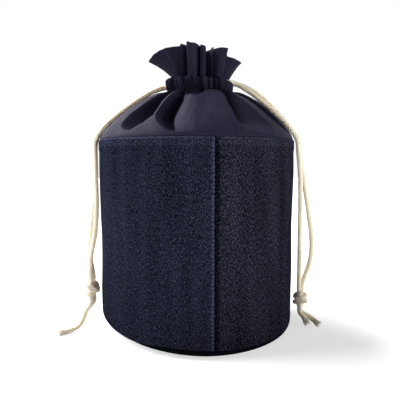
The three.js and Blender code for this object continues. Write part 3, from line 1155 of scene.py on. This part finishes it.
@dataclass
class DenimBody:
    """Two denim panels seamed at the front and the back, and a round denim base.

    The hem's steps are heights up it, and shares of the seam's dip there. Each pull is a depth beside a panel
    seam and the distance over which it dies away: on the lapped side, on the flat side, and in puckers.
    """

    form: BagForm
    thickness: float = 0.0024
    corner: float = 0.013
    seam_rise: float = 16.0
    seam_drop: float = 44.0
    seam_bearing: float = 9.4
    seam_dip: float = 0.0015
    seam_roll: float = 0.0016
    hem_height: float = 0.009
    hem_proud: float = 0.0005
    hem_steps: tuple[tuple[float, float], ...] = (
        (0.0, 0.0), (0.0025, 0.0), (0.0050, 0.0), (0.0074, 0.0), (0.0084, 0.25), (0.009, 1.0),
    )
    lap_pull: tuple[float, float] = (0.0014, 0.004)
    flat_pull: tuple[float, float] = (0.0002, 0.007)
    pucker_pull: tuple[float, float] = (0.00022, 0.005)
    slack: float = 0.0007
    slack_foot: tuple[float, float] = (0.012, 0.05)
    slack_top: tuple[float, float] = (0.15, 0.172)
    soft_corner: float = 0.008
    soft_corner_bearing: float = -52.0
    soft_corner_width: float = 34.0
    crisp_corner: float = 0.0055
    crisp_corner_bearing: float = 42.0
    crisp_corner_width: float = 50.0
    left: DenimFinish = DenimFinish("denim_plain", linear(9, 10, 15), linear(60, 63, 86), 0.75, edge=0.2827)
    # the flecked panel carries a band of painted shade beside its front seam
    right: DenimFinish = DenimFinish("denim_flecked", linear(7, 7, 11), linear(65, 66, 83), 0.85, groove_shade=0.24)
    # painted shade: the base is the same denim as the walls, with its weft painted darker because the base
    # faces down
    under: DenimFinish = DenimFinish("denim_underside", linear(7, 7, 11), linear(28, 30, 40), 0.9)

    def __post_init__(self) -> None:
        """Makes the unevenness of the stuffed cloth, and the puckers of its seams."""
        self.uneven = Ripple(seed=7)
        self.pucker = Ripple(seed=11, turns=(1, 3), rise=(0.004, 0.011))

    def build(self) -> None:
        """Makes the two panels and the base."""
        for side, finish, first in (
            (Side.LEFT, self.left, self.seam_bearing - 180),
            (Side.RIGHT, self.right, self.seam_bearing),
        ):
            names = (f"denim_{side.word}", f"denim_panel_{side.word}")
            panel = self._panel(first).piece(f"{side.word}_panel", finish.material(), *names)
        base = self._base().piece("round_base", self.under.material(), "denim_base", "base_panel")

    def _softness(self, bearing: Array) -> Array:
        """How much the turn under the wall is softened, from 0 to 1."""
        return np.exp(-((turn_between(bearing, self.soft_corner_bearing) / self.soft_corner_width) ** 2))

    def _corner_radius(self, bearing: Array) -> Array:
        """How round the turn under the wall is: softer at the front on the left, and crisper on the right.

        Args:
            bearing: Degrees from the front.

        Returns:
            Radii of the turn.
        """
        crisp = turn_between(bearing, self.crisp_corner_bearing) / self.crisp_corner_width
        soft = self.soft_corner * self._softness(bearing)
        return self.corner + soft - self.crisp_corner * np.exp(-(crisp**4))

    def _seam_angle(self, bearing: Array) -> Array:
        """Degrees below level of the base seam, in one row: further under where the turn is softer."""
        return self.seam_rise + self.seam_drop * self._softness(bearing)[None, :]

    def _on_corner(self, bearing: Array, angle: Array, under: float) -> Array:
        """Places on the rounded turn under the wall.

        Args:
            bearing: Degrees from the front.
            angle: Degrees below level, in rows.
            under: Depth below the denim's face.

        Returns:
            Radii and heights in rows and columns.
        """
        turn = np.radians(angle)
        corner = self._corner_radius(bearing)[None, :]
        radius = self.form.radius - corner + (corner - under) * np.cos(turn)
        return together(radius, corner - (corner - under) * np.sin(turn))

    def _seam_fall(self, bearing: Array, height: Array) -> Array:
        """How far the denim rolls in beside a panel seam.

        Args:
            bearing: Degrees from the front.
            height: Heights above the floor.

        Returns:
            Depths below the face.
        """
        away = np.minimum(*(np.abs(turn_between(bearing, self.seam_bearing + side)) for side in (0, 180)))
        length = np.radians(away) * self.form.radius
        near = np.clip(1 - length / self.seam_roll, 0, 1)
        roll = 1 - np.sqrt(1 - near**2)
        lapped = turn_between(bearing, self.seam_bearing) > 0
        depth, reach = (np.where(lapped, *pull) for pull in zip(self.lap_pull, self.flat_pull))
        pull = np.exp(-((length / reach) ** 2)) * depth
        depth, reach = self.pucker_pull
        puckers = depth * self.pucker.at(bearing, height) * np.exp(-((length / reach) ** 2))
        return self.seam_dip * roll + pull + puckers

    def _wall_rows(self, bearing: Array, under: float) -> Array:
        """The wall's rows, from the base seam to the top edge.

        Args:
            bearing: Degrees from the front.
            under: Depth below the denim's face.

        Returns:
            Radii and heights in rows and columns.
        """
        form = self.form
        outside = under == 0.0
        start = self._seam_angle(bearing)
        dip = self.seam_dip if outside else 0.0
        rolled = start - math.degrees(self.seam_roll / self.corner)
        first = self._on_corner(bearing, start, under + dip)
        arc = self._on_corner(bearing, np.linspace(rolled[0], 6, 6), under)
        hem_foot = form.height - self.hem_height
        corner = self._corner_radius(bearing)[None, :]
        share = np.linspace(0, 1, 52)[:, None]
        height = corner + (hem_foot - self.seam_roll - corner) * share
        wall = together(form.radius - under, height)
        proud = self.hem_proud if outside else 0.0
        rim = [(form.radius - under + (proud - fall * dip), hem_foot + up) for up, fall in self.hem_steps]
        rim = np.repeat(np.array(rim)[:, None, :], len(bearing), axis=1)
        rows = np.concatenate([first, arc, wall, rim])
        heights = rows[..., 1]
        loose = smoothstep(heights, *self.slack_foot) * (1 - smoothstep(heights, *self.slack_top))
        rows[..., 0] += self.slack * self.uneven.at(bearing, heights) * loose
        if outside:
            rows[..., 0] -= self._seam_fall(bearing, heights)
        return rows

    def _panel(self, first: float) -> Sewn:
        """One panel, half way round the bag.

        Args:
            first: Bearing of the seam at which it starts.

        Returns:
            The panel.
        """
        gap = math.degrees(self.form.gap / 2 / self.form.radius)
        fine = np.linspace(gap, 1.3, 7)  # closer columns beside the seams
        bearing = first + np.concatenate([fine, np.linspace(2, 178, 177), 180 - fine[::-1]])
        walls = [self._wall_rows(bearing, under) for under in (0.0, self.thickness)]
        along = run_along(walls[0])
        cloth = together(np.radians(bearing - first) * self.form.radius, (along - along[-1])[:, None])
        return sewn_shell(*(at_bearing(bearing, rows[..., 0], rows[..., 1]) for rows in walls), cloth)

    def _base_rows(self, bearing: Array, under: float) -> Array:
        """The base's rows, from near its middle out to its seam.

        Args:
            bearing: Degrees from the front.
            under: Depth below the denim's face.

        Returns:
            Radii and heights in rows and columns.
        """
        seam = self._seam_angle(bearing) + math.degrees(self.form.gap / self.corner)
        rolled = seam + math.degrees(self.seam_roll / self.corner)
        flat = self.form.radius - self._corner_radius(bearing)[None, :]
        share = np.linspace(0.02, 1, 24)[:, None]
        floor = together(flat * share, under)
        arc = self._on_corner(bearing, np.linspace(84, rolled[0], 8), under)
        last = self._on_corner(bearing, seam, under + (self.seam_dip if under == 0.0 else 0.0))
        return np.concatenate([floor, arc, last])

    def _base(self) -> Sewn:
        """The base: flat on the floor, turned up all round to meet the wall.

        Returns:
            The base.
        """
        bearing = np.linspace(0, 360, 241)[:-1]
        base = Sewn()
        layers = []
        for under in (0.0, self.thickness):
            rows = self._base_rows(bearing, under)[::-1]
            points = at_bearing(bearing, rows[..., 0], rows[..., 1])
            clear_of_hem = points[..., :2] - self.form.height
            layers.append(wrapped(base.add_points(points, clear_of_hem)))
        below, above = layers
        base.add_grid(below[::-1, ::-1])
        base.add_grid(above[::-1])
        base.add_strip(below[0], above[0])
        base.add_cap(below[-1, -2::-1])
        base.add_cap(above[-1, :-1])
        return base


@dataclass(frozen=True)
class Valley:
    """A fold that sinks into the collar's shoulder beside an edge, and slides under that edge.

    Its edge's bearings, its width in degrees and its depth are given at shares of the way from the denim to
    the neck. A fold to the left of its edge has a negative width. Its tuck is the share of its width that
    slides under the edge, and its floor the share of its width at which it is deepest. The cloth beyond the
    edge rolls down by a length, or up by a negative one, over a width in degrees.
    """

    edge: tuple[float, ...]
    width: tuple[float, ...]
    depth: tuple[float, ...]
    tuck: float = 0.3
    shares: tuple[float, ...] = (0.1, 0.5, 0.8, 1.0)
    floor: float = 0.3
    roll: float = 0.0
    roll_width: float = 8.0

    def at(self, bearing: Array, share: float) -> tuple[Array, Array]:
        """How deep the fold is, and how far its cloth slides round the bag.

        Args:
            bearing: Degrees from the front.
            share: Share of the way from the denim to the neck.

        Returns:
            Depths below the shoulder's curve, and degrees towards the right.
        """
        tables = (self.edge, self.width, self.depth)
        edge, width, depth = (np.interp(share, self.shares, table) for table in tables)
        away = turn_between(bearing, edge) * math.copysign(1.0, width)
        across = np.clip(away / abs(width), 0.0, 1.0)
        sunk = np.sin(math.pi * across ** (math.log(0.5) / math.log(self.floor))) ** 0.6
        slide = -self.tuck * width * sunk * depth / max(self.depth)
        bent = np.clip(1 + away / self.roll_width, 0.0, 1.0) ** 2 * (away < 0)
        return depth * sunk + self.roll * bent * depth / max(self.depth), slide


@dataclass(frozen=True)
class Pleat:
    """A ridge or valley of the gathered neck, at a bearing.

    It moves the casing and the foot of the frill out by lengths. The frill there leans out by an angle in
    degrees, is as long as given, and slides under its neighbour by degrees towards the right.
    """

    bearing: float
    casing: float
    foot: float
    lean: float
    length: float = 0.026
    slide: float = 0.0


@dataclass
class GatheredCollar:
    """The cotton collar in two halves: a shoulder that folds in to the neck, a gathered casing and a frill.

    Its exits are the heights at which the cords leave the casing at each side. The gathers run on up the
    frill as fine creases. The pocket is the hollow under the casing at the front, and has a rim at bearings.
    """

    form: BagForm
    exits: Mapping[Side, float]
    thickness: float = 0.002
    shoulder_cloth: float = 0.073
    neck_opening: float = 0.0125
    casing_underside: float = 0.002
    casing_tilt: float = 0.0016
    frill_thickness: float = 0.0013
    frill_foot: float = 0.026
    cord_cover: float = 0.0255
    gathers: int = 37
    gather_depth: float = 0.0016
    crease: float = 0.0003
    rows: int = 112
    columns: int = 401
    exit_width: float = 11.0
    exit_height: float = 0.0042
    exit_push: float = 8.5
    exit_radius: float = 0.027
    valleys: tuple[Valley, ...] = (
        Valley(
            (-37, -33.5, -31.5, -33.8, -36, -41.5, -46),
            (-5, -17, -23, -20, -18, -17, -12),
            (0, 0.013, 0.022, 0.024, 0.022, 0.016, 0.005),
            shares=(0.16, 0.3, 0.45, 0.57, 0.65, 0.83, 1.0), tuck=0.42, floor=0.35, roll=0.004, roll_width=9,
        ),
        Valley(
            (-8, -10.8, -13.2, -15.2, -16.2, -17, -18, -22, -25),
            (-4, -6, -9, -13, -14, -14, -13, -11, -9),
            (0, 0.006, 0.012, 0.018, 0.020, 0.021, 0.019, 0.012, 0.005),
            shares=(0.1, 0.2, 0.3, 0.45, 0.55, 0.65, 0.76, 0.91, 1.0), tuck=0.42, floor=0.35,
            roll=0.0075, roll_width=12,
        ),
        Valley(
            (27, 24.5, 23.2, 23, 23.2, 24, 26, 28, 30, 32),
            (20, 24, 24, 23, 21, 19, 17, 15, 11, 7),
            (0, 0.003, 0.007, 0.014, 0.021, 0.026, 0.030, 0.028, 0.018, 0.005),
            shares=(0.1, 0.28, 0.35, 0.46, 0.58, 0.66, 0.76, 0.84, 0.92, 1.0), tuck=0.45, roll=-0.003,
        ),
        Valley((73, 66, 62, 58), (-14, -12, -8, -6), (0, 0.005, 0.005, 0.002), 0.15),
        Valley((80, 82, 84, 84), (11, 12, 10, 8), (0, 0.007, 0.007, 0.003), 0.2),
        Valley((104, 102, 101, 100), (24, 22, 17, 11), (0, 0.011, 0.010, 0.004)),
        Valley((158, 154, 151, 150), (-25, -22, -17, -11), (0, 0.012, 0.011, 0.004)),
        Valley((172, 175, 177, 178), (26, 22, 17, 11), (0, 0.0125, 0.011, 0.004)),
        Valley((230, 228, 226, 225), (-25, -22, -17, -11), (0, 0.011, 0.010, 0.004)),
        Valley((246, 249, 251, 252), (22, 19, 15, 10), (0, 0.010, 0.009, 0.004)),
    )
    pocket_bearings: tuple[float, ...] = (-23, -21, -12, -6.5, -2, 1.5, 7, 10)
    pocket_rims: tuple[float, ...] = (0.98, 0.87, 0.785, 0.755, 0.74, 0.78, 0.88, 1.0)
    pocket_depth: float = 0.012
    pocket_slope: float = 0.07
    side_swell: float = 0.0022
    side_bearing: float = 82.0
    side_width: float = 20.0
    slack: float = 0.0005
    pleats: tuple[Pleat, ...] = (
        Pleat(-136, 0.001, 0.002, 40),
        Pleat(-112, -0.002, -0.004, 28),
        Pleat(-92, 0.0, 0.0, 56),
        Pleat(-83, -0.0015, -0.0005, 49),
        Pleat(-75, 0.0008, -0.001, 41),
        Pleat(-66, -0.0018, -0.002, 33),
        Pleat(-58, 0.0008, -0.003, 27),
        Pleat(-50, -0.0018, -0.0055, 23),
        Pleat(-43, 0.0008, -0.0075, 19),
        Pleat(-38, -0.0012, -0.004, 12),
        Pleat(-35, 0.001, 0.001, 4),
        Pleat(-32.5, -0.002, -0.010, 2, 0.026, 1.0),
        Pleat(-28, -0.004, -0.0175, -14, 0.026, 5.0),
        Pleat(-25.5, -0.002, -0.0135, -8, 0.026, 4.0),
        Pleat(-22.5, -0.0015, 0.001, 7),
        Pleat(-20, -0.002, 0.003, 7, 0.0268),
        Pleat(-13, -0.0035, 0.0025, 6),
        Pleat(-7, -0.0012, 0.001, 6),
        Pleat(-3, -0.0035, -0.009, 4, 0.0255, 4.5),
        Pleat(1, -0.0040, -0.001, 5, 0.025),
        Pleat(3, -0.0044, 0.0005, 4, 0.025),
        Pleat(6, -0.001, 0.0015, 4, 0.0245),
        Pleat(10, 0.0025, 0.0005, 5, 0.024),
        Pleat(16, 0.0025, -0.010, 6, 0.0225, 3.0),
        Pleat(20, 0.0015, -0.007, 6, 0.023, 4.5),
        Pleat(23.5, -0.003, 0.0015, 5, 0.024),
        Pleat(27, 0.0, -0.003, 8, 0.0235),
        Pleat(30, 0.0005, -0.008, 10, 0.024),
        Pleat(33, -0.003, -0.006, 10, 0.0245),
        Pleat(38, 0.0, 0.0, 12, 0.025),
        Pleat(43, 0.001, 0.0015, 13, 0.025),
        Pleat(47, -0.002, 0.002, 14, 0.025),
        Pleat(50, -0.0005, -0.002, 20, 0.0225),
        Pleat(53, 0.0005, -0.004, 26, 0.0205),
        Pleat(62, 0.001, -0.002, 35, 0.0205),
        Pleat(74, 0.0, -0.001, 42, 0.0205),
        Pleat(84, -0.001, 0.0, 38, 0.020),
        Pleat(94, 0.0, -0.002, 28, 0.021),
        Pleat(112, 0.001, 0.0025, 36, 0.024),
        Pleat(133, -0.003, -0.005, 20),
        Pleat(152, 0.001, 0.002, 37),
        Pleat(168, -0.003, -0.005, 18),
        Pleat(183, 0.001, 0.002, 30),
        Pleat(195, -0.003, -0.005, 16),
        Pleat(207, 0.001, 0.002, 32),
        Pleat(216, -0.002, -0.003, 24),
    )
    cotton: SateenFinish = SateenFinish("collar_cotton", linear(34, 32, 47), linear(41, 39, 56))

    def __post_init__(self) -> None:
        """Makes the unevenness of the drawn cloth."""
        self.uneven = Ripple(seed=23, turns=(6, 26), rise=(0.06, 0.3))

    def build(self) -> None:
        """Makes the two halves of the collar."""
        finish = self.cotton.material()
        for half in Half:
            name = half.name.lower()
            piece = self._half(half).piece(f"{name}_collar", finish, "collar_cotton", f"collar_{name}")
            length = self.shoulder_cloth + self.form.casing_height + self.pleats[0].length

    def _gather(self, bearing: Array) -> Array:
        """How far the casing's fine gathers stand out, unevenly spaced and high.

        Args:
            bearing: Degrees from the front.

        Returns:
            Shares from -1 to 1.
        """
        angle = np.radians(bearing)
        phase = self.gathers * angle + 1.3 * np.sin(3 * angle + 0.6) + 0.9 * np.sin(7 * angle + 2.0)
        high = 0.7 + 0.3 * np.sin(5 * angle + 1.0)
        return (2 * np.abs(np.cos(phase / 2)) ** 0.8 - 1) * high

    def _folds(self, bearing: Array, share: float) -> tuple[Array, Array]:
        """The shoulder's folds at a share of the way to the neck.

        Args:
            bearing: Degrees from the front.
            share: Share of the way from the denim to the neck.

        Returns:
            Depths below the shoulder's curve, and degrees by which the cloth slides towards the right.
        """
        depth, slide = np.sum([valley.at(bearing, share) for valley in self.valleys], axis=0)
        turn = turn_between(bearing, 0.0)
        rim = np.interp(turn, self.pocket_bearings, self.pocket_rims, left=2, right=2)
        pocket = self.pocket_depth * smoothstep(share - rim, 0.0, self.pocket_slope)
        pocket = pocket * (1 - 0.45 * smoothstep(share, 0.86, 1.0))
        side = np.exp(-(((np.abs(turn) - self.side_bearing) / self.side_width) ** 2))
        swell = self.side_swell * side * smoothstep(share, 0.15, 0.7) * (1 - smoothstep(share, 0.85, 1.0))
        slack = self.slack * self.uneven.at(bearing, share * 0.08) * smoothstep(share, 0.03, 0.2)
        return np.maximum(depth, pocket) - swell + slack, slide

    def _pleated(self, bearing: Array) -> tuple[Array, Array, Array, Array, Array]:
        """The neck's pleats at bearings.

        Args:
            bearing: Degrees from the front.

        Returns:
            How far out the casing is, the radius of the frill's foot, its lean in radians, its length, and
            degrees by which it slides towards the right.
        """
        first = self.pleats[0].bearing
        places = np.array([pleat.bearing for pleat in self.pleats] + [first + 360])
        wound = first + (bearing - first) % 360
        before = np.clip(np.searchsorted(places, wound, side="right") - 1, 0, len(self.pleats) - 1)
        gaps = np.diff(places)
        table = np.array([(p.casing, p.foot, p.lean, p.length, p.slide) for p in self.pleats])
        table = np.concatenate([table, table[:1]])
        rises = np.diff(table, axis=0) / gaps[:, None]
        earlier = np.roll(rises, 1, axis=0)
        mean = 2 * earlier * rises / np.where(earlier * rises > 0, earlier + rises, 1.0)
        slopes = np.where(earlier * rises > 0, mean, 0.0)
        slopes = np.concatenate([slopes, slopes[:1]])
        t = (wound - places[before]) / gaps[before]
        casing, foot, lean, length, slide = curve_through(table, slopes, gaps, before, t).T
        return casing, self.frill_foot + foot, np.radians(lean), length, slide

    def _outer_rows(self, bearing: Array) -> tuple[Array, Array]:
        """The outside of the collar, from the denim to the frill's edge.

        Args:
            bearing: Degrees from the front.

        Returns:
            Radii and heights in control rows and columns, and bearings in the same rows.
        """
        form = self.form
        rows, bearings = [], []
        for share in np.linspace(0, 0.97, 40):
            depth, slide = self._folds(bearing, share)
            rows.append(form.above_shoulder(share, -depth))
            bearings.append(bearing + slide)
        casing, foot, lean, length, swing = self._pleated(bearing)
        pinch, slide = self._folds(bearing, 1.0)
        neck, bulge = form.neck_radius, form.casing_bulge
        out = neck + casing + self.gather_depth * self._gather(bearing)
        level = form.neck_height - self.casing_tilt * np.sin(np.radians(bearing))
        # up the casing: shares of its height, radii, and how much of the folds' slide still holds
        for rise, radius, hold in (
            (0.04, out - 0.6 * bulge - 0.9 * pinch, 0.8),
            (0.2, out - 0.5 * pinch, 0.4),
            (0.45, out + 0.3 * bulge - 0.15 * pinch, 0.1),
            (0.7, out + 0.2 * bulge, 0.0),
            (0.88, 0.6 * (out - 0.3 * bulge) + 0.4 * (foot + 0.002), 0.0),
        ):
            rows.append((np.maximum(radius, self.cord_cover), level + form.casing_height * rise))
            bearings.append(bearing + slide * hold)
        creased = foot + self.crease * self._gather(bearing)
        frill = self._frill_rows(creased, lean, length, (0.0, 0.1, 0.3, 0.55, 0.8, 0.95, 1.0))
        rows += [(radius, height + level - form.neck_height) for radius, height in frill]
        bearings += [bearing + swing] * len(frill)
        return np.array([together(*row) for row in rows]), np.array(bearings)

    def _frill_rows(
        self, foot: Array, lean: Array, length: Array, shares: Sequence[float]
    ) -> list[tuple[Array, Array]]:
        """Rows of the frill.

        Args:
            foot: Radius of its foot at each column.
            lean: How far it leans out at each column, in radians.
            length: How long it is at each column.
            shares: Shares of the way up it.

        Returns:
            Radii and heights, one pair for each share.
        """
        rows = []
        for share in shares:
            bent = lean * (0.8 + 0.2 * share)
            run = share * length
            rows.append((foot + run * np.sin(bent), self.form.casing_top + run * np.cos(bent)))
        return rows

    def _inner_rows(self, bearing: Array) -> tuple[Array, Array]:
        """The inside of the collar, from the denim up to the frill's edge.

        Args:
            bearing: Degrees from the front.

        Returns:
            Radii and heights in control rows and columns, and bearings in the same rows.
        """
        form = self.form
        rows, bearings = [], []
        for share in np.linspace(0, 0.94, 24):
            depth, slide = self._folds(bearing, share)
            rows.append(form.above_shoulder(share, -self.thickness - depth))
            bearings.append(bearing + slide)
        for out, height in (
            (form.casing_bulge, form.neck_height - self.casing_underside),
            (0.0, form.neck_height + form.casing_height / 2),
            (form.casing_bulge, form.casing_top - self.casing_underside),
        ):
            rows.append((np.full_like(bearing, self.neck_opening + out), height))
            bearings.append(bearing)
        _, foot, lean, length, swing = self._pleated(bearing)
        shift = self.casing_tilt * np.sin(np.radians(bearing))
        creased = foot + self.crease * self._gather(bearing)
        for radius, height in self._frill_rows(creased, lean, length, (0.08, 0.3, 0.55, 0.8, 0.95, 0.995)):
            rows.append((radius - self.frill_thickness, height - shift))
            bearings.append(bearing + swing)
        return np.array([together(*row) for row in rows]), np.array(bearings)

    def _part_for_cords(self, bearing: Array, rows: Array, middle: float) -> Array:
        """Bearings with the side seams parted where the cords leave the casing.

        Args:
            bearing: Degrees from the front, in rows and columns.
            rows: Radii and heights in rows and columns.
            middle: Bearing of the half's middle.

        Returns:
            Bearings in rows and columns.
        """
        parted = bearing
        for side, height in self.exits.items():
            seam = 90.0 * side.value
            near = np.exp(-((turn_between(parted, seam) / self.exit_width) ** 2))
            level = np.exp(-(((rows[..., 1] - height) / self.exit_height) ** 2))
            level = level * (rows[..., 0] > self.exit_radius)
            push = math.copysign(self.exit_push, turn_between(middle, seam))
            parted = parted + push * near * level
        return parted

    def _sheet(self, controls: Array, bearings: Array) -> Array:
        """Radii, heights and bearings of a face of the collar, through its control rows.

        Args:
            controls: Radii and heights in control rows and columns.
            bearings: Bearings in the same rows.

        Returns:
            All three, in evenly spaced rows.
        """
        turned = bearings[..., None] * math.radians(1.0) * self.form.neck_radius
        sheet = smooth_rows(np.concatenate([controls, turned], axis=-1), self.rows)
        sheet[..., 2] /= math.radians(1.0) * self.form.neck_radius
        return sheet

    def _half(self, half: Half) -> Sewn:
        """One half of the collar, between the side seams.

        Args:
            half: Which half.

        Returns:
            The half.
        """
        gap = math.degrees(self.form.gap / 2 / self.form.neck_radius)
        bearing = half.value + np.linspace(-90 + gap, 90 - gap, self.columns)
        outer = self._sheet(*self._outer_rows(bearing))
        inner = self._sheet(*self._inner_rows(bearing))
        cloth = together(np.radians(bearing) * self.form.radius, run_along(outer[..., :2])[:, None])
        outer[..., 2] = self._part_for_cords(outer[..., 2], outer[..., :2], half.value)
        faces = [self.form.on_collar(sheet[..., 2], sheet[..., 0], sheet[..., 1]) for sheet in (outer, inner)]
        return sewn_shell(*faces, cloth)


def left_drawcord(form: BagForm) -> Drawcord:
    """The left drawcord, whose strands hang close together and whose front tail lies on the floor.

    Args:
        form: The bag's main sizes.

    Returns:
        The drawcord.
    """
    return Drawcord(
        name="left_drawcord",
        side=Side.LEFT,
        form=form,
        knot_place=(0.0089, -0.026, 0.039),
        front=Strand(
            from_knot=(-0.0006, -0.0025),
            wall=(
                (0.0096, -0.0285, 0.068), (0.0055, -0.028, 0.090), (0.0036, -0.026, 0.112),
                (0.0034, -0.0225, 0.138), (0.0036, -0.018, 0.158), (0.0034, -0.013, 0.173),
            ),
            shoulder=(
                (0.22, 0.0034, -0.009), (0.42, 0.0042, -0.006), (0.62, 0.0048, -0.004),
                (0.82, 0.0056, -0.0026),
            ),
        ),
        back=Strand(
            from_knot=(0.0006, 0.0025),
            wall=(
                (0.0104, -0.0215, 0.068), (0.0085, -0.0185, 0.090), (0.006, -0.016, 0.112),
                (0.005, -0.0135, 0.138), (0.0044, -0.0095, 0.158), (0.004, -0.0055, 0.173),
            ),
            shoulder=(
                (0.22, 0.0046, -0.001), (0.42, 0.0058, 0.002), (0.62, 0.0066, 0.003),
                (0.82, 0.0066, 0.0026),
            ),
        ),
        channel=0.2207,
        exit_rise=0.0026,
        tails=(
            Tail(
                "front", from_knot=(-0.0006, -0.0025), inside=0.004, fray=0.006, fan=0.9,
                places=(
                    (0.0056, -0.002, 0.018), (0.0096, -0.0025, 0.0085), (0.014, -0.005, 0.0036),
                    (0.0216, -0.011, 0.00255), (0.0286, -0.0165, 0.00255),
                ),
            ),
            Tail(
                "back", from_knot=(0.0006, 0.0025), inside=0.006, fray=0.004, fan=0.5,
                places=((0.0068, 0.0027, 0.0165), (0.0106, 0.0024, 0.0072), (0.0122, 0.0019, 0.0036)),
            ),
        ),
        seed=3,
        knot_tilts=(-30, 34, -24),
    )


def right_drawcord(form: BagForm) -> Drawcord:
    """The right drawcord, whose front strand hangs straight and whose back strand bows out.

    Args:
        form: The bag's main sizes.

    Returns:
        The drawcord.
    """
    return Drawcord(
        name="right_drawcord",
        side=Side.RIGHT,
        form=form,
        knot_place=(0.0089, -0.016, 0.026),
        front=Strand(
            from_knot=(-0.0018, -0.0018),
            wall=(
                (0.0076, -0.017, 0.060), (0.0074, -0.016, 0.084), (0.0074, -0.0155, 0.112),
                (0.0068, -0.0145, 0.140), (0.005, -0.0125, 0.162), (0.0034, -0.010, 0.175),
            ),
            shoulder=(
                (0.24, 0.0032, -0.008), (0.44, 0.0034, -0.0065), (0.64, 0.0046, -0.005),
                (0.83, 0.007, -0.0034),
            ),
        ),
        back=Strand(
            from_knot=(0.0018, 0.0018),
            wall=(
                (0.0135, -0.0132, 0.048), (0.018, -0.012, 0.062), (0.0192, -0.010, 0.080),
                (0.016, -0.008, 0.106), (0.0115, -0.0065, 0.134), (0.0064, -0.005, 0.160),
                (0.0044, -0.003, 0.175),
            ),
            shoulder=(
                (0.24, 0.0046, 0.0), (0.44, 0.006, 0.002), (0.64, 0.0085, 0.003),
                (0.83, 0.010, 0.003),
            ),
        ),
        channel=0.2269,
        exit_rise=0.0,
        tails=(
            Tail(
                "front", from_knot=(-0.0006, -0.0025), inside=0.0145, fray=0.006, fan=0.8,
                places=((0.003, -0.0055, 0.0093), (0.0064, -0.0065, 0.0029)),
            ),
            Tail(
                "back", from_knot=(0.0006, 0.0025), inside=0.006, fray=0.007, fan=0.8,
                places=((0.0096, -0.0022, 0.0082), (0.0176, -0.0072, 0.00255)),
            ),
        ),
        seed=5,
        knot_tilts=(18, -22, 12),
    )


def main() -> None:
    """Builds the studio and the bag, cords first."""
    logging.basicConfig(level=logging.INFO, format="%(name)s %(message)s")
    form = BagForm()
    Studio().build()
    cords = (left_drawcord(form), right_drawcord(form))
    for cord in cords:
        cord.build()
    DenimBody(form).build()
    exits = {cord.side: cord.channel + cord.exit_rise for cord in cords}
    GatheredCollar(form, exits).build()


if __name__ == "__main__":
    main()
